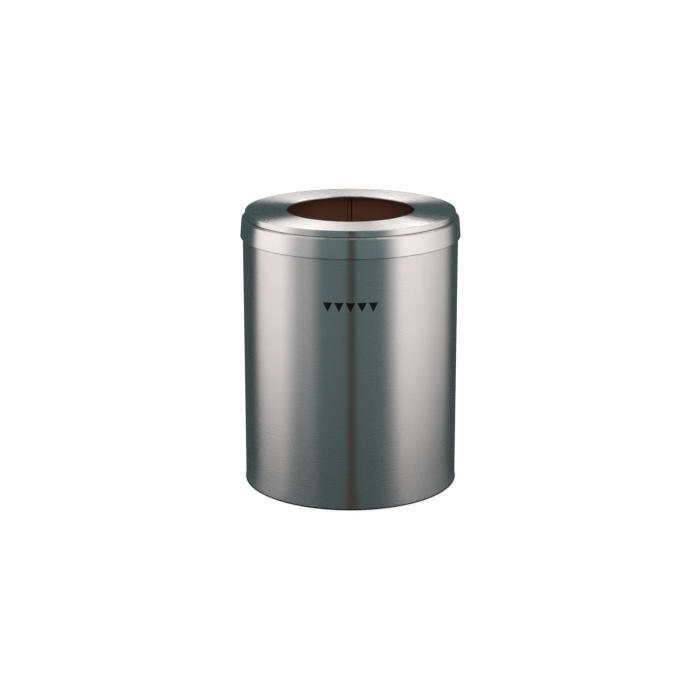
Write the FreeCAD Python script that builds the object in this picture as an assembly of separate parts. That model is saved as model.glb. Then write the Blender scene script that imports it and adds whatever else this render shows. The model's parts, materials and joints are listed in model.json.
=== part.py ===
import FreeCAD, Part

import math
import os

# Round recycling bin: a rolled sheet body, a spun ring lid that lifts off and a liner can that lifts out.
# Lengths are millimetres. The origin is the middle of the base on the floor, +Z is up and the front faces -Y.
# The sheet seams of the body and the liner are at the back, +Y. The liner's handles are at -X and +X.

# Driving dimensions
body_diameter = 508.0
overall_height = 660.0
mouth_diameter = 300.0

# Clearances shared by the pieces that seat on or in one another
rest_gap = 0.3           # between a piece that lifts off and what carries it
fit_gap = 0.1            # between pieces that are pressed, riveted or clenched together
running_gap = 0.08       # radial, between a handle's tip and its lug
overrun = 5.0            # how far every cut runs past what it cuts

# Body shell, rolled from sheet, with its top edge curled inwards round a wire
body_sheet = 1.2
rim_wire_diameter = 4.0
seam_slit = 0.7          # the line that shows at the back, where the outer end of the sheet stops
seam_lap = 20.0          # how far the inner end of the sheet runs behind the outer one
seam_joggle = 3.0        # the step that takes that end inwards
seam_end_margin = 6.0    # from the lapped strip to the rim and to the base pan

# Rivets, the same ones in the body's seam and in the handles' lugs
rivet_shank = 4.0
rivet_head = 8.5
rivet_head_rise = 1.8
rivet_tail = 6.5
rivet_tail_rise = 1.6
seam_rivet_count = 6
seam_rivet_margin = 40.0  # from the lowest rivet to the strip's end, and from the highest to the lid's skirt

# Base pan, and the edging that the bin stands on
pan_sheet = 1.2
pan_height = 16.0        # from the floor to the top of the pan
pan_bend = 3.8           # inner radius of the pan's edge
pan_dish_depth = 4.0
pan_dish_diameter = 300.0
pan_dish_slope = 10.0
trim_web = 1.6
trim_leg = 1.0
trim_lap = 1.8           # how far the edging laps up the outside of the body
trim_inner_margin = 2.4  # from the edging's inner leg to the pan's bend

# Spun lid
lid_sheet = 1.5
lid_cap_height = 16.4    # the raised ring above the step
lid_depth = 63.0         # from the top of the lid to the lower edge of its skirt
lid_skirt_clearance = 0.5  # round the body, at the top of the skirt
lid_skirt_flare = 3.8    # how much further out the skirt's lower edge is than its top
lid_cap_inset = 6.0      # how far the raised ring lies inside the body's outline
lid_shoulder_bend = 2.4  # the inner radii of the sheet's bends
lid_edge_bend = 3.3
mouth_curl_bend = 1.5
lid_step_radius = 1.0    # the hollow corner between the raised ring and the step
lid_hem_height = 8.0

# Liner can
liner_sheet = 0.9
liner_wire_diameter = 4.0
liner_lift_clearance = 2.0
liner_rim_drop = 2.5     # below the body's rim
liner_flange_height = 10.0
liner_seam_width = 7.5
liner_seam_rise = 1.8
liner_seam_shift = 2.6   # from the middle of the back towards -X
liner_seam_margin = 4.0

# Drop handles of the liner, and the lugs that carry them
handle_wire = 6.0
handle_grip_width = 80.0
handle_drop = 42.0
handle_bend_radius = 9.0
handle_pivot_depth = 50.0  # below the liner's rim
handle_tip_stub = 2.5
lug_barrel_wall = 2.0
lug_barrel_length = 14.0
lug_side_play = 1.0
lug_sheet = 1.5
lug_width = 24.0
lug_height = 48.0
lug_standoff = 0.5
lug_web_height = 7.0
lug_rivet_margin = 8.0   # from a rivet to the lug's end

# Places worked out from the sizes above: the lid, and the rim that carries it
body_radius = body_diameter / 2
body_inside = body_radius - body_sheet
lid_ledge_z = overall_height - lid_cap_height
lid_skirt_z = overall_height - lid_depth
lid_cap_radius = body_radius - lid_cap_inset
lid_band_top_radius = body_radius + lid_skirt_clearance + lid_sheet
lid_band_low_radius = lid_band_top_radius + lid_skirt_flare
rim_curl_inner = rim_wire_diameter / 2 + fit_gap
rim_curl_outer = rim_curl_inner + body_sheet
rim_centre_radius = body_radius - rim_curl_outer
rim_top_z = lid_ledge_z - lid_sheet - rest_gap
rim_centre_z = rim_top_z - rim_curl_outer

# The base pan inside the body, and the body's seam above it
pan_radius = body_inside - fit_gap
pan_corner = pan_bend + pan_sheet
seam_low_z = pan_height + seam_end_margin
seam_high_z = rim_centre_z - rim_curl_outer - seam_end_margin
seam_strip_inside = body_inside - body_sheet

# The liner, which passes the body's rim and stands on the pan
liner_curl_inner = liner_wire_diameter / 2 + fit_gap
liner_curl_outer = liner_curl_inner + liner_sheet
liner_rim_radius = rim_centre_radius - rim_curl_outer - liner_lift_clearance
liner_inside = liner_rim_radius - 2 * liner_curl_outer
liner_radius = liner_inside + liner_sheet
liner_base_z = pan_height + rest_gap
liner_floor_z = liner_base_z + liner_sheet
liner_rim_z = rim_top_z - liner_rim_drop
liner_curl_z = liner_rim_z - liner_curl_outer

# The handles' axis, as near to the liner's wall as the lugs allow
handle_radius = handle_wire / 2
lug_barrel_radius = handle_radius + running_gap + lug_barrel_wall
lug_face_radius = liner_inside - fit_gap - lug_sheet
lug_near_y = handle_grip_width / 2 + handle_bend_radius + lug_side_play
lug_far_y = lug_near_y + lug_barrel_length
lug_rivet_rise = lug_height / 2 - lug_rivet_margin
handle_tip_y = lug_far_y + handle_tip_stub
handle_axis_x = math.sqrt(lug_face_radius**2 - handle_tip_y**2) - lug_barrel_radius - lug_standoff
handle_axis_z = liner_rim_z - handle_pivot_depth

origin = FreeCAD.Vector(0, 0, 0)
up = FreeCAD.Vector(0, 0, 1)
outwards = FreeCAD.Vector(1, 0, 0)
along = FreeCAD.Vector(0, 1, 0)
back_deg = 90
full_turn_deg = 360


class Outline:
    """A half section in the r-z plane, drawn edge by edge, then closed and turned about the Z axis."""

    def __init__(self, r, z):
        self.first = FreeCAD.Vector(r, 0, z)
        self.here = self.first
        self.edges = []

    def line(self, r, z):
        there = FreeCAD.Vector(r, 0, z)
        self.edges.append(Part.LineSegment(self.here, there).toShape())
        self.here = there
        return self

    def arc(self, centre, radius, start_deg, end_deg):
        """An arc from the current point; both directions are as seen from its centre."""
        middle = on_circle(centre, radius, (start_deg + end_deg) / 2)
        there = on_circle(centre, radius, end_deg)
        self.edges.append(Part.Arc(self.here, middle, there).toShape())
        self.here = there
        return self

    def turned(self, sweep_deg=full_turn_deg):
        self.line(self.first.x, self.first.z)
        return Part.Face(Part.Wire(self.edges)).revolve(origin, up, sweep_deg)


def on_circle(centre, radius, deg):
    angle = math.radians(deg)
    return FreeCAD.Vector(centre[0] + radius * math.cos(angle), 0, centre[1] + radius * math.sin(angle))


def turn(shape, deg):
    """A copy of a shape, turned about the bin's axis."""
    turned = shape.copy()
    turned.rotate(origin, up, deg)
    return turned


def arc_deg(length, radius):
    return math.degrees(length / radius)


def curved_strip(inner, outer, low, high, start_deg, sweep_deg):
    """A piece of a cylindrical wall."""
    section = Outline(inner, low).line(outer, low).line(outer, high).line(inner, high)
    return turn(section.turned(sweep_deg), start_deg)


def wire_ring(radius, z, diameter):
    return Part.makeTorus(radius, diameter / 2, FreeCAD.Vector(0, 0, z), up)


def rivet_hole(inner, outer, azimuth_deg, z):
    start = FreeCAD.Vector(inner - overrun, 0, z)
    length = outer - inner + 2 * overrun
    return turn(Part.makeCylinder(rivet_shank / 2 + fit_gap, length, start, outwards), azimuth_deg)


def rivet(inner, outer, azimuth_deg, z, head_inside):
    """A rivet through sheets that lie between two radii, clear of them by the fit gap."""
    low = inner - fit_gap
    high = outer + fit_gap
    shank = Part.makeCylinder(rivet_shank / 2, high - low, outwards * low, outwards)
    # the head is the part of a ball that stands above its seat
    head_radius = rivet_head / 2
    ball_radius = (head_radius**2 + rivet_head_rise**2) / (2 * rivet_head_rise)
    ball = Part.makeSphere(ball_radius, outwards * (rivet_head_rise - ball_radius))
    seat_corner = FreeCAD.Vector(0, -head_radius, -head_radius)
    head = ball.common(Part.makeBox(rivet_head_rise, rivet_head, rivet_head, seat_corner))
    tail = Part.makeCylinder(rivet_tail / 2, rivet_tail_rise, origin, outwards)
    if head_inside:
        head.rotate(origin, up, 180)
        head.translate(outwards * low)
        tail.translate(outwards * high)
    else:
        head.translate(outwards * high)
        tail.translate(outwards * (low - rivet_tail_rise))
    whole = shank.fuse([head, tail]).removeSplitter()
    whole.translate(up * z)
    return turn(whole, azimuth_deg)


# Body: shell, seam rivets, rim wire, base pan and edging

seam_rivet_deg = back_deg + arc_deg(seam_slit + seam_lap / 2, body_inside)


def seam_rivet_heights():
    low = seam_low_z + seam_rivet_margin
    step = (lid_skirt_z - seam_rivet_margin - low) / (seam_rivet_count - 1)
    return [low + step * i for i in range(seam_rivet_count)]


def body_shell():
    centre = (rim_centre_radius, rim_centre_z)
    section = Outline(body_inside, trim_web).line(body_radius, trim_web).line(body_radius, rim_centre_z)
    section.arc(centre, rim_curl_outer, 0, 270)
    section.line(rim_centre_radius, rim_centre_z - rim_curl_inner).arc(centre, rim_curl_inner, 270, 0)
    wall = section.turned()
    slit = curved_strip(
        rim_centre_radius - rim_curl_outer - overrun, body_radius + overrun,
        trim_web - overrun, rim_top_z + overrun, back_deg, arc_deg(seam_slit, body_inside),
    )
    strip = curved_strip(
        seam_strip_inside, body_inside, seam_low_z, seam_high_z,
        back_deg - arc_deg(seam_joggle, body_inside),
        arc_deg(seam_joggle + seam_slit + seam_lap, body_inside),
    )
    shell = wall.cut(slit).fuse(strip).removeSplitter()
    for z in seam_rivet_heights():
        shell = shell.cut(rivet_hole(seam_strip_inside, body_radius, seam_rivet_deg, z))
    return shell


def seam_rivets():
    return Part.makeCompound([
        rivet(seam_strip_inside, body_radius, seam_rivet_deg, z, head_inside=False)
        for z in seam_rivet_heights()
    ])


def rim_wire():
    return wire_ring(rim_centre_radius, rim_centre_z, rim_wire_diameter)


def base_pan():
    """An upturned tray with a shallow dish, clenched inside the lower edge of the body."""
    top = pan_height
    dish = top - pan_dish_depth
    dish_radius = pan_dish_diameter / 2
    slope_radius = dish_radius + pan_dish_slope
    corner = (pan_radius - pan_corner, top - pan_corner)
    section = Outline(0, dish).line(dish_radius, dish).line(slope_radius, top)
    section.line(corner[0], top).arc(corner, pan_corner, 90, 0)
    section.line(pan_radius, trim_web).line(pan_radius - pan_sheet, trim_web)
    section.line(pan_radius - pan_sheet, corner[1]).arc(corner, pan_bend, 0, 90)
    section.line(slope_radius, top - pan_sheet).line(dish_radius, dish - pan_sheet)
    section.line(0, dish - pan_sheet)
    return section.turned()


def base_trim():
    """A channel of vinyl, pushed up over the lower edges of the body and the pan."""
    outer = body_radius + fit_gap
    inner = pan_radius - pan_sheet - fit_gap
    web_top = trim_web - fit_gap
    outer_top = trim_web + trim_lap
    inner_top = pan_height - pan_corner - trim_inner_margin
    rounding = trim_leg / 2
    inner_middle = inner - rounding
    outer_middle = outer + rounding
    section = Outline(inner - trim_leg, rounding).arc((inner_middle, rounding), rounding, 180, 270)
    section.line(outer_middle, 0).arc((outer_middle, rounding), rounding, -90, 0)
    section.line(outer + trim_leg, outer_top - rounding)
    section.arc((outer_middle, outer_top - rounding), rounding, 0, 180)
    section.line(outer, web_top).line(inner, web_top).line(inner, inner_top - rounding)
    section.arc((inner_middle, inner_top - rounding), rounding, 0, 180)
    return section.turned()


# Lid


def lid_shell():
    """One spun piece: a flat ring round a curled mouth, a step that sits on the rim, and a hemmed skirt."""
    top = overall_height
    curl_radius = mouth_curl_bend + lid_sheet
    shoulder_radius = lid_shoulder_bend + lid_sheet
    edge_radius = lid_edge_bend + lid_sheet
    curl = (mouth_diameter / 2 + curl_radius, top - curl_radius)
    shoulder = (lid_cap_radius - shoulder_radius, top - shoulder_radius)
    step = (lid_cap_radius + lid_step_radius, lid_ledge_z + lid_step_radius)
    edge = (lid_band_top_radius - edge_radius, lid_ledge_z - edge_radius)
    fold = (lid_band_low_radius - lid_sheet, lid_skirt_z + lid_sheet)
    hem_top = lid_skirt_z + lid_hem_height
    # the outer face, from the curled mouth to the folded lower edge
    section = Outline(curl[0], curl[1] - curl_radius).arc(curl, curl_radius, 270, 90)
    section.line(shoulder[0], top).arc(shoulder, shoulder_radius, 90, 0)
    section.line(lid_cap_radius, step[1]).arc(step, lid_step_radius, 180, 270)
    section.line(edge[0], lid_ledge_z).arc(edge, edge_radius, 90, 0)
    section.line(lid_band_low_radius, fold[1]).arc(fold, lid_sheet, 0, -180)
    # the inner face, back from the hem to the mouth
    section.line(fold[0] - lid_sheet, hem_top).line(fold[0], hem_top)
    section.line(lid_band_top_radius - lid_sheet, edge[1]).arc(edge, lid_edge_bend, 0, 90)
    section.line(step[0], lid_ledge_z - lid_sheet).arc(step, lid_step_radius + lid_sheet, 270, 180)
    section.line(lid_cap_radius - lid_sheet, shoulder[1]).arc(shoulder, lid_shoulder_bend, 0, 90)
    section.line(curl[0], top - lid_sheet).arc(curl, mouth_curl_bend, 90, 270)
    return section.turned()


# Liner: wall, bottom, rim wire, handle lugs and their rivets

lug_deg = math.degrees(math.asin((lug_near_y + lug_far_y) / 2 / lug_face_radius))
lug_azimuths = {
    "right_front": -lug_deg,
    "right_rear": lug_deg,
    "left_front": 180 + lug_deg,
    "left_rear": 180 - lug_deg,
}
lug_rivet_heights = (handle_axis_z - lug_rivet_rise, handle_axis_z + lug_rivet_rise)


def liner_wall():
    centre = (liner_inside + liner_curl_outer, liner_curl_z)
    section = Outline(liner_radius, liner_floor_z).line(liner_inside, liner_floor_z)
    section.line(liner_inside, liner_curl_z).arc(centre, liner_curl_outer, 180, -90)
    section.line(centre[0], liner_curl_z - liner_curl_inner).arc(centre, liner_curl_inner, -90, 180)
    wall = section.turned()
    seam_deg = arc_deg(liner_seam_width, liner_inside)
    seam_middle_deg = back_deg + arc_deg(liner_seam_shift, liner_inside)
    seam = curved_strip(
        liner_inside - liner_seam_rise, liner_inside + liner_sheet / 2,
        liner_floor_z + liner_seam_margin, liner_curl_z - liner_seam_margin,
        seam_middle_deg - seam_deg / 2, seam_deg,
    )
    can = wall.fuse(seam).removeSplitter()
    for azimuth in lug_azimuths.values():
        for z in lug_rivet_heights:
            can = can.cut(rivet_hole(liner_inside, liner_radius, azimuth, z))
    return can


def liner_bottom():
    """A shallow tray whose flange closes round the foot of the liner's wall."""
    inner = liner_radius + fit_gap
    outer = inner + liner_sheet
    floor = liner_floor_z - fit_gap
    flange_top = liner_base_z + liner_flange_height
    section = Outline(0, liner_base_z).line(outer, liner_base_z).line(outer, flange_top)
    section.line(inner, flange_top).line(inner, floor).line(0, floor)
    return section.turned()


def liner_rim_wire():
    return wire_ring(liner_inside + liner_curl_outer, liner_curl_z, liner_wire_diameter)


def right_lug(sign):
    """A plate on the liner's wall with a barrel for one tip of the right handle; sign is its side along Y."""
    low = handle_axis_z - lug_height / 2
    plate_deg = arc_deg(lug_width, lug_face_radius)
    plate = curved_strip(
        lug_face_radius, lug_face_radius + lug_sheet, low, low + lug_height,
        sign * lug_deg - plate_deg / 2, plate_deg,
    )
    near_y = lug_near_y if sign > 0 else -lug_far_y
    start = FreeCAD.Vector(handle_axis_x, near_y, handle_axis_z)
    barrel = Part.makeCylinder(lug_barrel_radius, lug_barrel_length, start, along)
    web_low = start - up * (lug_web_height / 2)
    web = Part.makeBox(liner_inside - handle_axis_x, lug_barrel_length, lug_web_height, web_low)
    web = web.common(Part.makeCylinder(lug_face_radius + lug_sheet / 2, lug_height, up * low, up))
    bore_length = lug_barrel_length + 2 * overrun
    bore = Part.makeCylinder(handle_radius + running_gap, bore_length, start - along * overrun, along)
    lug = plate.fuse([barrel, web]).cut(bore)
    for z in lug_rivet_heights:
        lug = lug.cut(rivet_hole(lug_face_radius, liner_radius, sign * lug_deg, z))
    return lug.removeSplitter()


def handle_lugs():
    front = right_lug(-1)
    rear = right_lug(1)
    return {
        "handle_lug_right_front": front,
        "handle_lug_right_rear": rear,
        "handle_lug_left_front": turn(rear, 180),
        "handle_lug_left_rear": turn(front, 180),
    }


def lug_rivets():
    return Part.makeCompound([
        rivet(lug_face_radius, liner_radius, azimuth, z, head_inside=True)
        for azimuth in lug_azimuths.values() for z in lug_rivet_heights
    ])


# Handles


def bent_wire(points, bend_radius, diameter):
    """A round wire along straight runs, with the same bend at each corner."""
    edges = []
    here = points[0]
    for before, corner, after in zip(points, points[1:], points[2:]):
        back = (before - corner).normalize()
        ahead = (after - corner).normalize()
        half_turn = (math.pi - back.getAngle(ahead)) / 2
        setback = bend_radius * math.tan(half_turn)
        start = corner + back * setback
        end = corner + ahead * setback
        inwards = (back + ahead).normalize()
        middle = corner + inwards * (bend_radius / math.cos(half_turn) - bend_radius)
        edges.append(Part.LineSegment(here, start).toShape())
        edges.append(Part.Arc(start, middle, end).toShape())
        here = end
    edges.append(Part.LineSegment(here, points[-1]).toShape())
    path = Part.Wire(edges)
    sweep = Part.BRepOffsetAPI.MakePipeShell(path)
    sweep.add(Part.Wire(Part.makeCircle(diameter / 2, points[0], points[1] - points[0])))
    sweep.build()
    sweep.makeSolid()
    wire = sweep.shape()
    plain_volume = math.pi * diameter**2 / 4 * path.Length
    print(f"bent wire: {path.Length:.1f} mm, {wire.Volume / plain_volume:.4f} of section times length")
    return wire


def drop_handle(x):
    """A U of round wire that hangs from its turned-out tips."""
    half_grip = handle_grip_width / 2
    low = handle_axis_z - handle_drop
    places = [
        (-handle_tip_y, handle_axis_z), (-half_grip, handle_axis_z), (-half_grip, low),
        (half_grip, low), (half_grip, handle_axis_z), (handle_tip_y, handle_axis_z),
    ]
    return bent_wire([FreeCAD.Vector(x, y, z) for y, z in places], handle_bend_radius, handle_wire)


def main():
    nodes = {
        "body_shell": body_shell(),
        "seam_rivets": seam_rivets(),
        "rim_wire": rim_wire(),
        "base_pan": base_pan(),
        "base_trim": base_trim(),
        "lid_shell": lid_shell(),
        "liner_wall": liner_wall(),
        "liner_bottom": liner_bottom(),
        "liner_rim_wire": liner_rim_wire(),
        **handle_lugs(),
        "lug_rivets": lug_rivets(),
        "handle_left": drop_handle(-handle_axis_x),
        "handle_right": drop_handle(handle_axis_x),
    }
    os.makedirs("parts", exist_ok=True)
    for name, shape in nodes.items():
        shape.exportStep(f"parts/{name}.step")
        print(f"{name}: {len(shape.Solids)} solids, valid {shape.isValid()}, {shape.Volume / 1000:.2f} cm3")


main()
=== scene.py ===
import json
import math

import bmesh
import bpy
from mathutils import Matrix, Vector

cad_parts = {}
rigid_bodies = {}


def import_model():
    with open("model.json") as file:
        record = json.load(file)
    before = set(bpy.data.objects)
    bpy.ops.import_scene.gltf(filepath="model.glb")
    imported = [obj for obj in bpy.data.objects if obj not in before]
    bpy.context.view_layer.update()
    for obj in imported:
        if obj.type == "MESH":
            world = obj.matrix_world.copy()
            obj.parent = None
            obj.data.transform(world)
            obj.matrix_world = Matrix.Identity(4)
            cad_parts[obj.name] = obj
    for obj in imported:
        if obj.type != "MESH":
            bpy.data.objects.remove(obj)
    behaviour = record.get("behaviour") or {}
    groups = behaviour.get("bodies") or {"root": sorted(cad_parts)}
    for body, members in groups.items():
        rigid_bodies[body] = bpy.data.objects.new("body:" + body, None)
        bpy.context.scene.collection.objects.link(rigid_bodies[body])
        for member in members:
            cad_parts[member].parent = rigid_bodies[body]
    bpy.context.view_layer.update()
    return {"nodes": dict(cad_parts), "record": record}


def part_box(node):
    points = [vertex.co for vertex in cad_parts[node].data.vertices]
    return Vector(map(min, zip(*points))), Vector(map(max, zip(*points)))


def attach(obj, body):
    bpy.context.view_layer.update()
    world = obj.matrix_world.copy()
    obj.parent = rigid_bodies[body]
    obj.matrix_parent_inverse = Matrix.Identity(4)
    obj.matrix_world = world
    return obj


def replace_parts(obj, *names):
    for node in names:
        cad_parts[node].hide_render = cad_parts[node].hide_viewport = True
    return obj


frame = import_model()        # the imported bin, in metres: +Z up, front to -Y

mm = 0.001
backDeg = 90             # the sheet seams lie at the back, +Y
wholeTurnDeg = 360
mergeGap = 0.002 * mm    # points that are closer than this are one
print("frame loaded:", len(frame["nodes"]), "nodes")


# Shared by all materials

eased = {"interpolation_type": "SMOOTHSTEP"}     # a Map Range that starts and ends softly
inColour = {"data_type": "RGBA"}                 # a Mix of two colours
colourOut = 2


def linear(hexColour):   # an sRGB hex value as the linear colour that shaders take
    parts = [int(hexColour[i:i + 2], 16) / 255 for i in (1, 3, 5)]
    return [c / 12.92 if c <= 0.04045 else ((c + 0.055) / 1.055) ** 2.4 for c in parts] + [1.0]


def addNode(tree, kind, inputs=(), out=0, **settings):
    # inputs are named or in order: an output of another node is linked, any other value is set
    node = tree.nodes.new("ShaderNode" + kind)
    for name, value in settings.items():
        setattr(node, name, value)
    for name, value in inputs.items() if isinstance(inputs, dict) else enumerate(inputs):
        if isinstance(value, bpy.types.NodeSocket):
            tree.links.new(value, node.inputs[name])
        else:
            node.inputs[name].default_value = value
    return node.outputs[out] if node.outputs else None


def newMaterial(name):
    material = bpy.data.materials.new(name)
    material.use_nodes = True
    material.node_tree.nodes.clear()
    return material, material.node_tree


def turnedPlace(tree):   # on a turned piece: the place, the angle from the front, the radius and the height
    place = addNode(tree, "TexCoord", out="Object")
    x, y, z = addNode(tree, "SeparateXYZ", [place]).node.outputs
    forward = addNode(tree, "Math", [y, -1.0], operation="MULTIPLY")
    angle = addNode(tree, "Math", [x, forward], operation="ARCTAN2")
    level = addNode(tree, "CombineXYZ", [x, y])
    radius = addNode(tree, "VectorMath", [level], "Value", operation="LENGTH")
    return place, angle, radius, z


def turnedTangent(tree, place):   # points round the axis, along the polishing lines
    around = addNode(tree, "VectorMath", [(0, 0, 1), place], operation="CROSS_PRODUCT")
    return addNode(tree, "VectorTransform", [around], vector_type="VECTOR",
                   convert_from="OBJECT", convert_to="WORLD")


# Satin anodised aluminium, rolled sheet brushed round the body:
# reflections smear up and down across the brush lines and stay narrower along them
satinCfg = {
    "light": "#ebe2e0", "dark": "#e1d9d7", "wearAndShade": "#8f8a88",
    "line": 0.9 * mm,        # real brush lines are near 0.2 mm, too fine for the picture
    "streak": 180 * mm, "lineDetail": 3.0, "lineRange": (0.25, 0.75), "lineDepth": 0.003 * mm,
    "smudge": 70 * mm, "smudgeDetail": 4.0, "smudgeRange": (0.45, 0.7), "smudgeRoughness": (0, 0.015),
    "wave": 160 * mm, "waveDetail": 1.0, "waveDepth": 0.08 * mm,   # the sheet's slow waviness from rolling
    "underLidShade": (1.0 * mm, 3.6 * mm),   # below the lid's lower edge: painted shade, the dark line under the lid's edge
    "roughness": (0.255, 0.28), "anisotropy": 0.95, "brushTurn": 0.25,
}


def satinAluminium():
    cfg = satinCfg
    material, tree = newMaterial("satinBrushedAluminium")
    place, angle, radius, z = turnedPlace(tree)
    arc = addNode(tree, "Math", [angle, radius], operation="MULTIPLY")
    along = addNode(tree, "Math", [arc, cfg["streak"]], operation="DIVIDE")
    across = addNode(tree, "Math", [z, cfg["line"]], operation="DIVIDE")
    brushed = addNode(tree, "CombineXYZ", {0: along, 2: across})
    lines = addNode(tree, "TexNoise", {"Vector": brushed, "Scale": 1.0, "Detail": cfg["lineDetail"]})
    smudges = addNode(tree, "TexNoise", {
        "Vector": place, "Scale": 1 / cfg["smudge"], "Detail": cfg["smudgeDetail"],
    })
    waves = addNode(tree, "TexNoise", {
        "Vector": place, "Scale": 1 / cfg["wave"], "Detail": cfg["waveDetail"],
    })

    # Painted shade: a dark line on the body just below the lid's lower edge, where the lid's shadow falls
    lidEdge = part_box("lid_shell")[0].z
    below = addNode(tree, "Math", [lidEdge, z], operation="SUBTRACT")
    clear = addNode(tree, "Math", [below, 0.0], operation="GREATER_THAN")
    fading = addNode(tree, "MapRange", [below, *cfg["underLidShade"], 1.0, 0.0], **eased)
    underLidShade = addNode(tree, "Math", [fading, clear], operation="MULTIPLY")
    ends = {6: linear(cfg["dark"]), 7: linear(cfg["light"])}
    sheet = addNode(tree, "Mix", {0: lines, **ends}, colourOut, **inColour)
    colour = addNode(tree, "Mix", {0: underLidShade, 6: sheet, 7: linear(cfg["wearAndShade"])}, colourOut, **inColour)

    lineRough = addNode(tree, "MapRange", [lines, *cfg["lineRange"], *cfg["roughness"]], **eased)
    smudgeRough = addNode(tree, "MapRange", [smudges, *cfg["smudgeRange"], *cfg["smudgeRoughness"]], **eased)
    wavy = addNode(tree, "Bump", {"Height": waves, "Distance": cfg["waveDepth"]})
    shader = addNode(tree, "BsdfPrincipled", {
        "Base Color": colour, "Metallic": 1.0,
        "Roughness": addNode(tree, "Math", [lineRough, smudgeRough], operation="ADD"),
        "Normal": addNode(tree, "Bump", {"Height": lines, "Distance": cfg["lineDepth"], "Normal": wavy}),
        "Anisotropic": cfg["anisotropy"], "Anisotropic Rotation": cfg["brushTurn"],
        "Tangent": turnedTangent(tree, place),
    })
    addNode(tree, "OutputMaterial", [shader])
    return material


# Spun aluminium, polished in the lathe: brighter than the body, with fine rings
spunCfg = {
    "light": "#f9f1ef", "dark": "#f2eae8", "dirtAndShade": "#767472",
    "ring": 0.8 * mm,        # drawn coarser than the real polishing rings, so that they show
    "ringDetail": 3.0, "ringRange": (0.25, 0.75), "ringDepth": 0.001 * mm,
    "smudge": 45 * mm, "smudgeDetail": 4.0, "smudgeRange": (0.45, 0.7), "smudgeRoughness": (0, 0.01),
    "corner": (14.0 * mm, 15.6 * mm),   # below the lid's top, where painted shade in the step's corner grows
    "cornerEnd": 16.3 * mm,             # and where it stops, at the ledge
    "roughness": (0.26, 0.275), "anisotropy": 1.0, "ringTurn": 0.25,
}


def spunAluminium():
    cfg = spunCfg
    material, tree = newMaterial("spunPolishedAluminium")
    place, angle, radius, z = turnedPlace(tree)
    out = addNode(tree, "Math", [radius, cfg["ring"]], operation="DIVIDE")
    down = addNode(tree, "Math", [z, cfg["ring"]], operation="DIVIDE")
    ringed = addNode(tree, "CombineXYZ", [out, angle, down])
    rings = addNode(tree, "TexNoise", {"Vector": ringed, "Scale": 1.0, "Detail": cfg["ringDetail"]})
    smudges = addNode(tree, "TexNoise", {
        "Vector": place, "Scale": 1 / cfg["smudge"], "Detail": cfg["smudgeDetail"],
    })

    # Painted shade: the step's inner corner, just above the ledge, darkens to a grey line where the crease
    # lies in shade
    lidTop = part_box("lid_shell")[1].z
    below = addNode(tree, "Math", [lidTop, z], operation="SUBTRACT")
    aboveLedge = addNode(tree, "Math", [below, cfg["cornerEnd"]], operation="LESS_THAN")
    growing = addNode(tree, "MapRange", [below, *cfg["corner"], 0.0, 1.0], **eased)
    dirtAndShade = addNode(tree, "Math", [growing, aboveLedge], operation="MULTIPLY")
    ends = {6: linear(cfg["dark"]), 7: linear(cfg["light"])}
    sheet = addNode(tree, "Mix", {0: rings, **ends}, colourOut, **inColour)
    colour = addNode(tree, "Mix", {0: dirtAndShade, 6: sheet, 7: linear(cfg["dirtAndShade"])}, colourOut, **inColour)

    ringRough = addNode(tree, "MapRange", [rings, *cfg["ringRange"], *cfg["roughness"]], **eased)
    smudgeRough = addNode(tree, "MapRange", [smudges, *cfg["smudgeRange"], *cfg["smudgeRoughness"]], **eased)
    shader = addNode(tree, "BsdfPrincipled", {
        "Base Color": colour, "Metallic": 1.0,
        "Roughness": addNode(tree, "Math", [ringRough, smudgeRough], operation="ADD"),
        "Normal": addNode(tree, "Bump", {"Height": rings, "Distance": cfg["ringDepth"]}),
        "Anisotropic": cfg["anisotropy"], "Anisotropic Rotation": cfg["ringTurn"],
        "Tangent": turnedTangent(tree, place),
    })
    addNode(tree, "OutputMaterial", [shader])
    return material


# Stoved enamel, sprayed dark brown on the can: a soft sheen, faint orange peel, paler rubbed places
enamelCfg = {
    "fresh": "#83503c", "wearAndShade": "#8b5944", "dirtAndShade": "#4a2d22",
    "peel": 2.5 * mm, "peelDetail": 2.0, "peelDepth": 0.03 * mm,
    "patch": 90 * mm, "patchDetail": 5.0, "patchMix": 0.6, "rubbedRange": (0.4, 0.75),
    "settled": (20 * mm, 120 * mm), "settledShare": 0.8,   # heights over which settled dirt fades out
    "sheenRange": (0.3, 0.7), "roughness": (0.38, 0.5), "coat": 0.15, "coatRoughness": 0.3,
}


def brownEnamel():
    cfg = enamelCfg
    material, tree = newMaterial("brownStovedEnamel")
    place, angle, radius, z = turnedPlace(tree)
    patches = addNode(tree, "TexNoise", {
        "Vector": place, "Scale": 1 / cfg["patch"],
        "Detail": cfg["patchDetail"], "Roughness": cfg["patchMix"],
    })
    peel = addNode(tree, "TexNoise", {"Vector": place, "Scale": 1 / cfg["peel"], "Detail": cfg["peelDetail"]})
    wearAndShade = addNode(tree, "MapRange", [patches, *cfg["rubbedRange"], 0.0, 1.0], **eased)
    ends = {6: linear(cfg["fresh"]), 7: linear(cfg["wearAndShade"])}
    paint = addNode(tree, "Mix", {0: wearAndShade, **ends}, colourOut, **inColour)
    low = addNode(tree, "MapRange", [z, *cfg["settled"], cfg["settledShare"], 0.0], **eased)
    settled = addNode(tree, "Math", [low, patches], operation="MULTIPLY")
    colour = addNode(tree, "Mix", {0: settled, 6: paint, 7: linear(cfg["dirtAndShade"])}, colourOut, **inColour)
    shader = addNode(tree, "BsdfPrincipled", {
        "Base Color": colour,
        "Roughness": addNode(tree, "MapRange", [patches, *cfg["sheenRange"], *cfg["roughness"]], **eased),
        "Normal": addNode(tree, "Bump", {"Height": peel, "Distance": cfg["peelDepth"]}),
        "Coat Weight": cfg["coat"], "Coat Roughness": cfg["coatRoughness"],
    })
    addNode(tree, "OutputMaterial", [shader])
    return material


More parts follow.
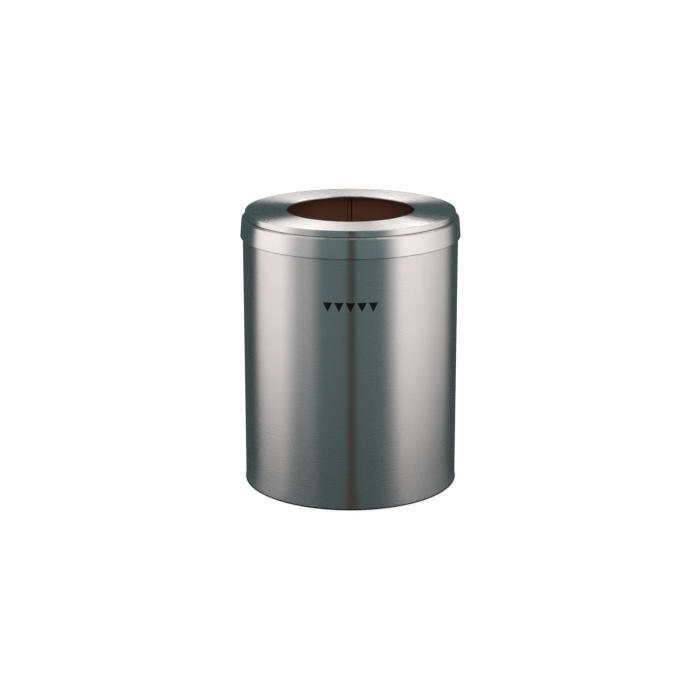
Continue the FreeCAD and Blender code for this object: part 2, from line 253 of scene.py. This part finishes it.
# Extruded black vinyl: matt, with a fine grain and greyer scuffs where shoes and mops meet it
vinylCfg = {
    "clean": "#141414", "scuffed": "#333231",
    "grain": 0.8 * mm, "grainDetail": 2.0, "grainDepth": 0.03 * mm,
    "scuff": 18 * mm, "scuffDetail": 5.0, "scuffMix": 0.65, "scuffRange": (0.5, 0.72),
    "roughness": (0.45, 0.7),
}


def blackVinyl():
    cfg = vinylCfg
    material, tree = newMaterial("blackExtrudedVinyl")
    place = addNode(tree, "TexCoord", out="Object")
    grain = addNode(tree, "TexNoise", {
        "Vector": place, "Scale": 1 / cfg["grain"], "Detail": cfg["grainDetail"],
    })
    worn = addNode(tree, "TexNoise", {
        "Vector": place, "Scale": 1 / cfg["scuff"],
        "Detail": cfg["scuffDetail"], "Roughness": cfg["scuffMix"],
    })
    scuffs = addNode(tree, "MapRange", [worn, *cfg["scuffRange"], 0.0, 1.0], **eased)
    ends = {6: linear(cfg["clean"]), 7: linear(cfg["scuffed"])}
    shader = addNode(tree, "BsdfPrincipled", {
        "Base Color": addNode(tree, "Mix", {0: scuffs, **ends}, colourOut, **inColour),
        "Roughness": addNode(tree, "MapRange", [scuffs, 0.0, 1.0, *cfg["roughness"]], **eased),
        "Normal": addNode(tree, "Bump", {"Height": grain, "Distance": cfg["grainDepth"]}),
    })
    addNode(tree, "OutputMaterial", [shader])
    return material


# Hot dip galvanised sheet: dull grey, broken into crystals that each catch the light a little differently
spangleCfg = {
    "pale": "#a9adb0", "dull": "#83888c", "stained": "#5d5a55",
    "crystal": 14 * mm,
    "stain": 55 * mm, "stainDetail": 5.0, "stainRange": (0.5, 0.75), "stainShare": 0.6,
    "roughness": (0.38, 0.58),
}


def galvanisedSheet():
    cfg = spangleCfg
    material, tree = newMaterial("galvanisedSpangledSteel")
    place = addNode(tree, "TexCoord", out="Object")
    crystals = addNode(tree, "TexVoronoi", {"Vector": place, "Scale": 1 / cfg["crystal"]}, "Color")
    tone = addNode(tree, "SeparateColor", [crystals])
    stains = addNode(tree, "TexNoise", {
        "Vector": place, "Scale": 1 / cfg["stain"], "Detail": cfg["stainDetail"],
    })
    stained = addNode(tree, "MapRange", [stains, *cfg["stainRange"], 0.0, cfg["stainShare"]], **eased)
    ends = {6: linear(cfg["dull"]), 7: linear(cfg["pale"])}
    zinc = addNode(tree, "Mix", {0: tone, **ends}, colourOut, **inColour)
    colour = addNode(tree, "Mix", {0: stained, 6: zinc, 7: linear(cfg["stained"])}, colourOut, **inColour)
    shader = addNode(tree, "BsdfPrincipled", {
        "Base Color": colour, "Metallic": 1.0,
        "Roughness": addNode(tree, "MapRange", [tone, 0.0, 1.0, *cfg["roughness"]], **eased),
    })
    addNode(tree, "OutputMaterial", [shader])
    return material


# Zinc plate on steel wire, pressings and rivets, and bare aluminium rivets:
# blue grey and satin, dulled in patches, brighter where rubbed
zincFinishes = {
    "zincPlatedDrawnWire": {
        "bright": "#c3c6c8", "dulled": "#8e9296",
        "patch": 12 * mm, "pit": 0.9 * mm, "roughness": (0.26, 0.46),
    },
    "zincPlatedPressedSteel": {
        "bright": "#b4b8bb", "dulled": "#80858a",
        "patch": 9 * mm, "pit": 0.7 * mm, "roughness": (0.32, 0.52),
    },
    "zincPlatedRivetSteel": {
        "bright": "#a7abae", "dulled": "#74797d",
        "patch": 4 * mm, "pit": 0.6 * mm, "roughness": (0.3, 0.5),
    },
    "headedRivetAluminium": {
        "bright": "#d2d0cf", "dulled": "#a9a8a8",
        "patch": 4 * mm, "pit": 0.6 * mm, "roughness": (0.28, 0.45),
    },
}
zincCfg = {                  # shared by all four
    "patchDetail": 5.0, "patchMix": 0.6, "patchRange": (0.35, 0.65),
    "pitDetail": 3.0, "pitDepth": 0.01 * mm,
}


def zincPlate(name):
    cfg = {**zincCfg, **zincFinishes[name]}
    material, tree = newMaterial(name)
    place = addNode(tree, "TexCoord", out="Object")
    patches = addNode(tree, "TexNoise", {
        "Vector": place, "Scale": 1 / cfg["patch"],
        "Detail": cfg["patchDetail"], "Roughness": cfg["patchMix"],
    })
    pits = addNode(tree, "TexNoise", {"Vector": place, "Scale": 1 / cfg["pit"], "Detail": cfg["pitDetail"]})
    dulled = addNode(tree, "MapRange", [patches, *cfg["patchRange"], 0.0, 1.0], **eased)
    ends = {6: linear(cfg["bright"]), 7: linear(cfg["dulled"])}
    shader = addNode(tree, "BsdfPrincipled", {
        "Base Color": addNode(tree, "Mix", {0: dulled, **ends}, colourOut, **inColour), "Metallic": 1.0,
        "Roughness": addNode(tree, "MapRange", [dulled, 0.0, 1.0, *cfg["roughness"]], **eased),
        "Normal": addNode(tree, "Bump", {"Height": pits, "Distance": cfg["pitDepth"]}),
    })
    addNode(tree, "OutputMaterial", [shader])
    return material


finishes = {
    "satin_aluminium": satinAluminium(),
    "spun_aluminium": spunAluminium(),
    "brown_enamel": brownEnamel(),
    "black_vinyl": blackVinyl(),
    "galvanised_sheet": galvanisedSheet(),
    "zinc_wire": zincPlate("zincPlatedDrawnWire"),
    "zinc_lug": zincPlate("zincPlatedPressedSteel"),
    "rivet_steel": zincPlate("zincPlatedRivetSteel"),
    "rivet_aluminium": zincPlate("headedRivetAluminium"),
}
for part in frame["record"]["subparts"]:     # every CAD node takes the finish of its slot
    slots = frame["nodes"][part["node"]].data.materials
    slots.clear()
    slots.append(finishes[part["material_slot"]])
print("finishes:", len(finishes))


# Shared by all new pieces

roundProfile = 0.5       # a bevel that follows a circle


def closeSection(corners, bendSteps):
    # corners are radius, height and how far the rounding reaches along each side
    bm = bmesh.new()
    verts = [bm.verts.new((radius, 0, height)) for radius, height, rounding in corners]
    for here, there in zip(verts, verts[1:] + verts[:1]):
        bm.edges.new((here, there))
    for vert, (radius, height, rounding) in zip(verts, corners):
        if rounding:
            bmesh.ops.bevel(bm, geom=[vert], offset=rounding, offset_type="OFFSET", segments=bendSteps,
                            profile=roundProfile, affect="VERTICES", material=-1)
    return bm


def turnSection(corners, steps, bendSteps=1, startDeg=0, sweepDeg=wholeTurnDeg):
    bm = closeSection(corners, bendSteps)
    whole = sweepDeg == wholeTurnDeg
    start = Matrix.Rotation(math.radians(startDeg), 3, "Z")
    bmesh.ops.rotate(bm, verts=bm.verts[:], cent=(0, 0, 0), matrix=start)
    bmesh.ops.spin(bm, geom=bm.verts[:] + bm.edges[:], axis=(0, 0, 1), cent=(0, 0, 0),
                   angle=math.radians(sweepDeg), steps=steps, use_merge=whole)
    if not whole:
        bmesh.ops.holes_fill(bm, edges=[edge for edge in bm.edges if edge.is_boundary], sides=0)
    bmesh.ops.remove_doubles(bm, verts=bm.verts[:], dist=mergeGap)
    bmesh.ops.recalc_face_normals(bm, faces=bm.faces[:])
    return bm


def addObject(name, data):
    thing = bpy.data.objects.new(name, data)
    bpy.context.scene.collection.objects.link(thing)
    return thing


def addMesh(name, bm, material):
    mesh = bpy.data.meshes.new(name)
    bm.to_mesh(mesh)
    bm.free()
    mesh.materials.append(material)
    return addObject(name, mesh)


def addPiece(name, bm, body, slot, material=None, sharpDeg=32):
    piece = addMesh(name, bm, material or finishes[slot])
    piece.data.shade_smooth()
    piece.data.set_sharp_from_angle(angle=math.radians(sharpDeg))
    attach(piece, body)
    return piece


def arcDeg(length, radius):
    return math.degrees(length / radius)


# Body: sheet rolled to a tube, its top edge curled inwards round a wire, its ends lapped at the back
bodyCfg = {
    "sheet": 1.2 * mm,
    "curlBore": 4.2 * mm,    # inside the curl, round the wire
    "slit": 0.7 * mm,        # the line that shows between the sheet's ends
    "lap": 20 * mm, "joggle": 3 * mm,
    "lapMargin": 6 * mm,     # from the lapped strip to the curl and to the base pan
    "turnSteps": 240, "bendSteps": 8, "lapSteps": 8,
}


def makeBody():
    cfg = bodyCfg
    low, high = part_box("body_shell")
    sheet = cfg["sheet"]
    outside = high.x
    inside = outside - sheet
    curlIn = cfg["curlBore"] / 2
    curlOut = curlIn + sheet
    middle = outside - curlOut
    curlZ = high.z - curlOut
    corners = [
        (inside, low.z, 0), (outside, low.z, 0),
        (outside, high.z, curlOut), (middle - curlOut, high.z, curlOut),
        (middle - curlOut, curlZ - curlOut, curlOut), (middle, curlZ - curlOut, 0),
        (middle, curlZ - curlIn, 0), (middle - curlIn, curlZ - curlIn, curlIn),
        (middle - curlIn, curlZ + curlIn, curlIn), (inside, curlZ + curlIn, curlIn),
    ]
    slitDeg = arcDeg(cfg["slit"], inside)
    tube = turnSection(corners, cfg["turnSteps"], cfg["bendSteps"], backDeg + slitDeg, wholeTurnDeg - slitDeg)
    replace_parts(addPiece("bodyShell", tube, "body", "satin_aluminium"), "body_shell")

    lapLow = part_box("base_pan")[1].z + cfg["lapMargin"]
    lapHigh = curlZ - curlOut - cfg["lapMargin"]
    strip = [
        (inside - sheet, lapLow, 0), (inside, lapLow, 0),
        (inside, lapHigh, 0), (inside - sheet, lapHigh, 0),
    ]
    startDeg = backDeg - arcDeg(cfg["joggle"], inside)
    sweepDeg = arcDeg(cfg["joggle"] + cfg["slit"] + cfg["lap"], inside)
    lap = turnSection(strip, cfg["lapSteps"], startDeg=startDeg, sweepDeg=sweepDeg)
    addPiece("bodySeamLap", lap, "body", "satin_aluminium")
    print("body: tube", round(2 * outside / mm), "mm across")


# Lid: one spun ring, with a curled mouth, a flat top, a step that sits on the rim and a hemmed skirt
lidCfg = {
    "sheet": 1.5 * mm,
    "mouthRadius": 150 * mm, "mouthCurl": 3 * mm,
    "capRadius": 248 * mm, "capHeight": 16.4 * mm,
    "shoulder": 3.9 * mm,    # outer radius of the top edge
    "stepHollow": 1.0 * mm,
    "bandEdge": 4.8 * mm, "bandFlare": 3.8 * mm,
    "hemHeight": 8 * mm,
    "turnSteps": 240, "bendSteps": 8,
}


def makeLid():
    cfg = lidCfg
    low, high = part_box("lid_shell")
    sheet = cfg["sheet"]
    top = high.z
    ledge = top - cfg["capHeight"]
    curl = cfg["mouthCurl"]
    mouth = cfg["mouthRadius"]
    mouthLow = top - 2 * curl
    cap = cfg["capRadius"]
    bandLow = high.x
    bandTop = bandLow - cfg["bandFlare"]
    hemTop = low.z + cfg["hemHeight"]
    corners = [
        # the outer face, from under the mouth's curl to the folded hem
        (mouth + curl, mouthLow, 0), (mouth, mouthLow, curl), (mouth, top, curl),
        (cap, top, cfg["shoulder"]), (cap, ledge, cfg["stepHollow"]), (bandTop, ledge, cfg["bandEdge"]),
        (bandLow, low.z, sheet), (bandLow - 2 * sheet, low.z, sheet),
        # the inner face, back up to the mouth
        (bandLow - 2 * sheet, hemTop, 0), (bandLow - sheet, hemTop, 0),
        (bandTop - sheet, ledge - sheet, cfg["bandEdge"] - sheet),
        (cap - sheet, ledge - sheet, cfg["stepHollow"] + sheet),
        (cap - sheet, top - sheet, cfg["shoulder"] - sheet),
        (mouth + sheet, top - sheet, curl - sheet), (mouth + sheet, mouthLow + sheet, curl - sheet),
        (mouth + curl, mouthLow + sheet, 0),
    ]
    ring = turnSection(corners, cfg["turnSteps"], cfg["bendSteps"])
    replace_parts(addPiece("lidShell", ring, "lid", "spun_aluminium"), "lid_shell")
    print("lid: mouth", round(2 * mouth / mm), "mm across")


# Painted seam shade: dark beads that stand for the shadow lines along the liner's folded seam, soft edged and
# nearly matt
seamShadeCfg = {
    "fresh": "#2a0f06", "lighterShade": "#3a1c10",
    "lump": 3 * mm, "lumpDetail": 4.0, "lumpDepth": 0.1 * mm, "sheenRange": (0.3, 0.7),
    "roughness": (0.5, 0.7),
}


def seamShadeBeads():
    cfg = seamShadeCfg
    material, tree = newMaterial("paintedSeamShade")
    place = addNode(tree, "TexCoord", out="Object")
    lumps = addNode(tree, "TexNoise", {
        "Vector": place, "Scale": 1 / cfg["lump"], "Detail": cfg["lumpDetail"],
    })
    ends = {6: linear(cfg["fresh"]), 7: linear(cfg["lighterShade"])}
    shader = addNode(tree, "BsdfPrincipled", {
        "Base Color": addNode(tree, "Mix", {0: lumps, **ends}, colourOut, **inColour),
        "Roughness": addNode(tree, "MapRange", [lumps, *cfg["sheenRange"], *cfg["roughness"]], **eased),
        "Normal": addNode(tree, "Bump", {"Height": lumps, "Distance": cfg["lumpDepth"]}),
    })
    addNode(tree, "OutputMaterial", [shader])
    return material


# Liner can: a thin wall curled outwards round a wire, closed at the back by a folded seam between two dark
# beads of painted shade
linerCfg = {
    "sheet": 0.9 * mm,
    "curlBore": 4.2 * mm,
    "seamWidth": 7.5 * mm, "seamRise": 1.8 * mm, "seamShift": 2.6 * mm, "seamRounding": 0.7 * mm,
    "seamFoot": 4 * mm, "seamTop": 0.3 * mm,     # short of the wall's foot and of its curl
    "beadWidth": 3.4 * mm, "beadRounding": 0.72 * mm, "beadRise": 0.9 * mm,
    "thinBeadWidth": 1.5 * mm, "thinBeadRounding": 0.6 * mm,
    "turnSteps": 240, "bendSteps": 6, "roundSteps": 4,
}


def uprightStrip(left, right, wall, rise, low, high, rounding):
    # a bar on the back wall's inner face, with its free edges rounded
    bm = bmesh.new()
    bmesh.ops.create_cube(bm, size=1)
    bmesh.ops.scale(bm, verts=bm.verts[:], vec=(right - left, 2 * rise, high - low))
    bmesh.ops.translate(bm, verts=bm.verts[:], vec=((left + right) / 2, wall, (low + high) / 2))
    free = [edge for edge in bm.edges if all(vert.co.y < wall for vert in edge.verts)]
    bmesh.ops.bevel(bm, geom=free, offset=rounding, offset_type="OFFSET", segments=linerCfg["roundSteps"],
                    profile=roundProfile, affect="EDGES", material=-1)
    return bm


def makeLiner(seamShade):
    cfg = linerCfg
    low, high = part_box("liner_wall")
    sheet = cfg["sheet"]
    curlIn = cfg["curlBore"] / 2
    curlOut = curlIn + sheet
    inside = high.x - 2 * curlOut
    outside = inside + sheet
    middle = inside + curlOut
    curlZ = high.z - curlOut
    corners = [
        (outside, low.z, 0), (inside, low.z, 0),
        (inside, high.z, curlOut), (high.x, high.z, curlOut), (high.x, curlZ - curlOut, curlOut),
        (middle, curlZ - curlOut, 0), (middle, curlZ - curlIn, 0),
        (middle + curlIn, curlZ - curlIn, curlIn), (middle + curlIn, curlZ + curlIn, curlIn),
        (outside, curlZ + curlIn, curlIn),
    ]
    wall = turnSection(corners, cfg["turnSteps"], cfg["bendSteps"])
    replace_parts(addPiece("linerWall", wall, "liner", "brown_enamel"), "liner_wall")

    seam = (low.z + cfg["seamFoot"], curlZ - cfg["seamTop"])
    right = cfg["seamWidth"] / 2 - cfg["seamShift"]
    left = right - cfg["seamWidth"]
    fold = uprightStrip(left, right, inside, cfg["seamRise"], *seam, cfg["seamRounding"])
    addPiece("linerSeamFold", fold, "liner", "brown_enamel")
    # Dark beads on both sides of the fold: painted shade, the fold's shadow lines
    bead = uprightStrip(right, right + cfg["beadWidth"], inside, cfg["beadRise"], *seam, cfg["beadRounding"])
    addPiece("linerSeamShadeBead", bead, "liner", "brown_enamel", seamShade)
    thinBead = uprightStrip(left - cfg["thinBeadWidth"], left, inside, cfg["beadRise"], *seam,
                            cfg["thinBeadRounding"])
    addPiece("linerSeamThinShadeBead", thinBead, "liner", "brown_enamel", seamShade)
    print("liner:", round((high.z - low.z) / mm), "mm deep")


# Screen printed ink: dead black and matt, slightly thin in places
inkCfg = {
    "full": "#0a0808", "thin": "#161413",
    "patch": 8 * mm, "patchDetail": 4.0, "sheenRange": (0.3, 0.7), "roughness": (0.6, 0.75), "specular": 0.2,
}


def printedInk():
    cfg = inkCfg
    material, tree = newMaterial("blackScreenPrintedInk")
    place = addNode(tree, "TexCoord", out="Object")
    patches = addNode(tree, "TexNoise", {
        "Vector": place, "Scale": 1 / cfg["patch"], "Detail": cfg["patchDetail"],
    })
    ends = {6: linear(cfg["full"]), 7: linear(cfg["thin"])}
    shader = addNode(tree, "BsdfPrincipled", {
        "Base Color": addNode(tree, "Mix", {0: patches, **ends}, colourOut, **inColour),
        "Roughness": addNode(tree, "MapRange", [patches, *cfg["sheenRange"], *cfg["roughness"]], **eased),
        "Specular IOR Level": cfg["specular"],
    })
    addNode(tree, "OutputMaterial", [shader])
    return material


# Front mark: a row of plain triangles printed on the body, pointing down
markCfg = {
    "count": 5, "pitch": 26 * mm, "width": 22 * mm, "height": 22 * mm,
    "corner": 1.2 * mm, "cornerSteps": 4,
    "film": 0.15 * mm, "lift": 0.03 * mm,
    "centreHeight": 485 * mm,
    "cuts": 6,               # to each pitch, so that the flat row can bend round the body
}


def makeFrontMark(ink):
    cfg = markCfg
    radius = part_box("body_shell")[1].x
    half = cfg["width"] / 2
    top = cfg["centreHeight"] + cfg["height"] / 2
    bm = bmesh.new()
    for i in range(cfg["count"]):
        x = (i - (cfg["count"] - 1) / 2) * cfg["pitch"]
        places = [(x - half, 0, top), (x, 0, top - cfg["height"]), (x + half, 0, top)]
        triangle = bm.faces.new([bm.verts.new(place) for place in places])
        bmesh.ops.bevel(bm, geom=triangle.verts[:], offset=cfg["corner"], offset_type="OFFSET",
                        segments=cfg["cornerSteps"], profile=roundProfile, affect="VERTICES", material=-1)
    reach = cfg["count"] * cfg["cuts"] // 2
    for i in range(-reach, reach + 1):
        place = (i * cfg["pitch"] / cfg["cuts"], 0, 0)
        bmesh.ops.bisect_plane(bm, geom=bm.verts[:] + bm.edges[:] + bm.faces[:], dist=mergeGap,
                               plane_co=place, plane_no=(1, 0, 0))
    grown = bmesh.ops.extrude_face_region(bm, geom=bm.faces[:])
    raised = [item for item in grown["geom"] if isinstance(item, bmesh.types.BMVert)]
    bmesh.ops.translate(bm, verts=raised, vec=(0, -cfg["film"], 0))
    for vert in bm.verts:    # laid round the body
        angle = vert.co.x / radius
        out = radius + cfg["lift"] - vert.co.y
        vert.co = Vector((out * math.sin(angle), -out * math.cos(angle), vert.co.z))
    bmesh.ops.recalc_face_normals(bm, faces=bm.faces[:])
    addPiece("frontMark", bm, "body", "black_vinyl", ink)
    print("front mark:", cfg["count"], "triangles")


makeBody()
makeLid()
makeLiner(seamShadeBeads())
makeFrontMark(printedInk())


# Camera: as the photo's, found from the bin's edges and ovals
cameraCfg = {
    "distance": 4.318, "height": 1.544, "pitchDeg": 15.90, "side": -0.001,
    "focalPixels": 1870.6, "imagePixels": 700, "sensorMm": 36.0,
}


def makeCamera():
    cfg = cameraCfg
    data = bpy.data.cameras.new("photoCamera")
    data.sensor_width = cfg["sensorMm"]
    data.lens = cfg["focalPixels"] / cfg["imagePixels"] * cfg["sensorMm"]
    camera = addObject("photoCamera", data)
    camera.location = (cfg["side"], -cfg["distance"], cfg["height"])
    camera.rotation_euler = (math.radians(90 - cfg["pitchDeg"]), 0, 0)
    bpy.context.scene.camera = camera
    print("camera: lens", round(data.lens, 1), "mm")


# Stage: pale paper floor, soft light from above, and dark cloths that only the metal sees
stageCfg = {
    "floorSize": 60.0, "paper": "#cdcdcd", "paperLift": 0.58,
    "skyLight": 0.42,        # what the white surroundings give to surfaces
    "sunStrength": 1.0, "sunSpreadDeg": 80, "sunTiltDeg": (12, -8, 0),
    "lampTarget": (0, 0, 0.6),
}
# soft boxes: place, width and height, power, and whether the metal shows them
softBoxes = {
    "backLeftBox": {"place": (-0.92, 2.9, 3.2), "size": (1.6, 1.6), "power": 14.5, "inMetal": True},
    "backRightBox": {"place": (1.25, 2.9, 3.2), "size": (1.6, 1.6), "power": 20, "inMetal": True},
    "frontFill": {"place": (0.0, -4.6, 2.2), "size": (1.6, 2.2), "power": 60, "inMetal": False},
}
white = (1, 1, 1, 1)
black = (0, 0, 0, 1)


def seenDirectly(tree):      # 1 for rays from the camera, and for those off metal or through glass
    path = addNode(tree, "LightPath").node.outputs
    seen = addNode(tree, "Math", [path["Is Camera Ray"], path["Is Glossy Ray"]], operation="ADD")
    seen = addNode(tree, "Math", [seen, path["Is Transmission Ray"]], operation="ADD")
    return addNode(tree, "Math", [seen, 1.0], operation="MINIMUM")


def makeFloor():
    cfg = stageCfg
    material, tree = newMaterial("palePaper")
    paper = addNode(tree, "BsdfDiffuse", [linear(cfg["paper"])])
    lift = addNode(tree, "Math", [seenDirectly(tree), cfg["paperLift"]], operation="MULTIPLY")
    glow = addNode(tree, "Emission", [white, lift])
    addNode(tree, "OutputMaterial", [addNode(tree, "AddShader", [paper, glow])])
    bm = bmesh.new()
    bmesh.ops.create_grid(bm, x_segments=1, y_segments=1, size=cfg["floorSize"] / 2)
    addMesh("floor", bm, material)


def makeWorld():
    world = bpy.data.worlds.new("whiteStudio")
    world.use_nodes = True
    tree = world.node_tree
    tree.nodes.clear()
    strength = addNode(tree, "MapRange", [seenDirectly(tree), 0.0, 1.0, stageCfg["skyLight"], 1.0], **eased)
    addNode(tree, "OutputWorld", [addNode(tree, "Background", [white, strength])])
    bpy.context.scene.world = world


def makeLamps():
    cfg = stageCfg
    sun = bpy.data.lights.new("softSun", "SUN")
    sun.energy = cfg["sunStrength"]
    sun.angle = math.radians(cfg["sunSpreadDeg"])
    lamp = addObject("softSun", sun)
    lamp.rotation_euler = [math.radians(deg) for deg in cfg["sunTiltDeg"]]
    lamp.visible_glossy = False
    for name, box in softBoxes.items():
        area = bpy.data.lights.new(name, "AREA")
        area.shape = "RECTANGLE"
        area.size, area.size_y = box["size"]
        area.energy = box["power"]
        lamp = addObject(name, area)
        lamp.location = box["place"]
        facing = Vector(cfg["lampTarget"]) - lamp.location
        lamp.rotation_euler = facing.to_track_quat("-Z", "Y").to_euler()
        lamp.visible_camera = False
        lamp.visible_glossy = box["inMetal"]


# Dark studio cloth round the bin, in front where the camera stands and behind: it glows with its own dark
# colours, no lamp, and only the metal sees it, a painted reflection that keeps dark edges and a dark middle
# on the bright metal, as a photographer's cloth does. Between the two cloths the white paper shows.
clothCfg = {
    "innerRadius": 0.2552, "outerRadius": 3.2, "wallHeight": 3.6, "lift": 0.0008, "turnSteps": 96,
    # on each side, the turns from the front over which the front cloth ends, and over which the back cloth
    # begins on the floor and on the wall: first of the thin cloth and then of the dense one
    "left": {
        "front": [(28, 47), (52, 80)],
        "floorBack": [(99, 133), (99, 133)], "wallBack": [(110, 121), (110, 121)],
    },
    "right": {
        "front": [(31, 59), (31, 59)],
        "floorBack": [(66, 118), (110, 140)], "wallBack": [(70, 120), (112, 138)],
    },
    "thinShare": 0.36,
    "backTop": (1.6, 2.63), "notchDeg": (180, 155),   # the back cloth's top dips straight behind the bin
    "backTallDeg": (150, 164),                        # and reaches the wall's top on both sides
    "footShadowRadius": (0.26, 2.45), "footShadowDepth": 0.88,       # painted shade of the floor round the foot, darkest near the bin and fading into the paper
    "narrowRadius": (0.3, 2.1), "frontPower": 4.2, "backPower": 1.9,   # near the foot less paper is bare
    "frontTeal": "#62777a", "frontShade": 0.5, "backTeal": "#405354", "backShade": 0.9,
    "shadeRadius": (0.26, 3.2),                       # each cloth is shaded near the foot
    "stand": "#46403a", "standDeg": (2.3, 5.4), "standCentreDeg": 1.2,   # a painted reflection of the camera's stand, in the middle
}


def clothEdge(tree, turn, spans):   # grows from 0 to 1 over an edge's two spans
    share = clothCfg["thinShare"]
    thin, dense = [[math.radians(deg) for deg in span] for span in spans]
    thinPart = addNode(tree, "MapRange", [turn, *thin, 0.0, share], **eased)
    densePart = addNode(tree, "MapRange", [turn, *dense, 0.0, 1 - share], **eased)
    return addNode(tree, "Math", [thinPart, densePart], operation="ADD")


def bareSide(tree, turn, radius, onFloor, behind, edges):   # how bare the paper is, on one side of the bin
    cfg = clothCfg
    offFront = clothEdge(tree, turn, edges["front"])
    floorBack = clothEdge(tree, turn, edges["floorBack"])
    wallBack = clothEdge(tree, turn, edges["wallBack"])
    back = addNode(tree, "Mix", {0: onFloor, 2: wallBack, 3: floorBack})
    hung = addNode(tree, "Math", [back, behind], operation="MULTIPLY")
    offBack = addNode(tree, "Math", [1.0, hung], operation="SUBTRACT")
    frontPower = addNode(tree, "MapRange", [radius, *cfg["narrowRadius"], cfg["frontPower"], 1.0], **eased)
    backPower = addNode(tree, "MapRange", [radius, *cfg["narrowRadius"], cfg["backPower"], 1.0], **eased)
    offFront = addNode(tree, "Math", [offFront, frontPower], operation="POWER")
    offBack = addNode(tree, "Math", [offBack, backPower], operation="POWER")
    return addNode(tree, "Math", [offFront, offBack], operation="MULTIPLY")


def mirroredTurn(tree, turn, radius):
    # the turn that the round body mirrors to this place, so that the bands stay upright on it
    near = addNode(tree, "Math", [clothCfg["innerRadius"], radius], operation="DIVIDE")
    mirrored = turn
    for i in range(2):       # two rounds settle it
        half = addNode(tree, "Math", [mirrored, 0.5], operation="MULTIPLY")
        wall = addNode(tree, "Math", [half], operation="SINE")
        shift = addNode(tree, "Math", [wall, near], operation="MULTIPLY")
        mirrored = addNode(tree, "Math", [turn, shift], operation="ADD")
    return mirrored


def backCloth(tree, turn, z):    # 1 where the back cloth hangs, by its top edge
    cfg = clothCfg
    lowTop, highTop = cfg["backTop"]
    notch = [math.radians(deg) for deg in cfg["notchDeg"]]
    aside = addNode(tree, "MapRange", [turn, *notch, 0.0, 1.0])
    curve = addNode(tree, "Math", [aside], operation="SQRT")
    top = addNode(tree, "MapRange", [curve, 0.0, 1.0, lowTop, highTop])
    hung = addNode(tree, "Math", [z, top], operation="LESS_THAN")
    tallTurn = [math.radians(deg) for deg in cfg["backTallDeg"]]
    tall = addNode(tree, "MapRange", [turn, *tallTurn, 1.0, 0.0], **eased)
    return addNode(tree, "Math", [tall, hung], operation="MAXIMUM")


def clothColour(tree, angle, turn, radius):
    cfg = clothCfg
    inFront = addNode(tree, "Math", [turn, math.pi / 2], operation="LESS_THAN")
    ends = {6: linear(cfg["backTeal"]), 7: linear(cfg["frontTeal"])}
    teal = addNode(tree, "Mix", {0: inFront, **ends}, colourOut, **inColour)
    footShade = addNode(tree, "Mix", {0: inFront, 2: cfg["backShade"], 3: cfg["frontShade"]})
    shade = addNode(tree, "MapRange", [radius, *cfg["shadeRadius"], footShade, 1.0], **eased)
    shaded = addNode(tree, "Mix", {0: shade, 6: black, 7: teal}, colourOut, **inColour)
    aside = addNode(tree, "Math", [angle, math.radians(cfg["standCentreDeg"])], operation="SUBTRACT")
    aside = addNode(tree, "Math", [aside], operation="ABSOLUTE")
    standTurn = [math.radians(deg) for deg in cfg["standDeg"]]
    atStand = addNode(tree, "MapRange", [aside, *standTurn, 1.0, 0.0], **eased)
    return addNode(tree, "Mix", {0: atStand, 6: shaded, 7: linear(cfg["stand"])}, colourOut, **inColour)


def makeCloths():
    cfg = clothCfg
    material, tree = newMaterial("darkStudioCloth")
    place, angle, radius, z = turnedPlace(tree)
    turn = addNode(tree, "Math", [angle], operation="ABSOLUTE")
    onLeft = addNode(tree, "Math", [angle, 0.0], operation="LESS_THAN")
    mirrored = mirroredTurn(tree, turn, radius)
    behind = backCloth(tree, turn, z)
    onFloor = addNode(tree, "Math", [z, 2 * cfg["lift"]], operation="LESS_THAN")
    left = bareSide(tree, mirrored, radius, onFloor, behind, cfg["left"])
    right = bareSide(tree, mirrored, radius, onFloor, behind, cfg["right"])
    sides = addNode(tree, "Mix", {0: onLeft, 2: right, 3: left})
    # Painted shade: the floor round the foot darkens in the metal's reflections, as if shaded by the bin
    fading = addNode(tree, "MapRange", [radius, *cfg["footShadowRadius"], cfg["footShadowDepth"], 0.0], **eased)
    footShadow = addNode(tree, "Math", [fading, onFloor], operation="MULTIPLY")
    offFootShadow = addNode(tree, "Math", [1.0, footShadow], operation="SUBTRACT")
    bare = addNode(tree, "Math", [sides, offFootShadow], operation="MULTIPLY")
    # The cloth glows with its own colour and is no lamp: its teal, the stand and its shading are painted
    # reflections for the metal
    cloth = addNode(tree, "Emission", [clothColour(tree, angle, turn, radius), 1.0])
    clear = addNode(tree, "BsdfTransparent")
    addNode(tree, "OutputMaterial", [addNode(tree, "MixShader", [bare, cloth, clear])])

    bm = bmesh.new()
    places = [
        (cfg["innerRadius"], cfg["lift"]), (cfg["outerRadius"], cfg["lift"]),
        (cfg["outerRadius"], cfg["wallHeight"]), (cfg["lift"], cfg["wallHeight"]),
    ]
    verts = [bm.verts.new((radius, 0, height)) for radius, height in places]
    for here, there in zip(verts, verts[1:]):
        bm.edges.new((here, there))
    bmesh.ops.spin(bm, geom=bm.verts[:] + bm.edges[:], axis=(0, 0, 1), cent=(0, 0, 0),
                   angle=math.radians(wholeTurnDeg), steps=cfg["turnSteps"], use_merge=True)
    cloths = addMesh("darkCloths", bm, material)
    cloths.visible_camera = False
    cloths.visible_diffuse = False
    cloths.visible_shadow = False
    cloths.visible_transmission = False


makeCamera()
makeFloor()
makeWorld()
makeLamps()
makeCloths()
bpy.context.scene.view_settings.view_transform = "Standard"
print("stage set")
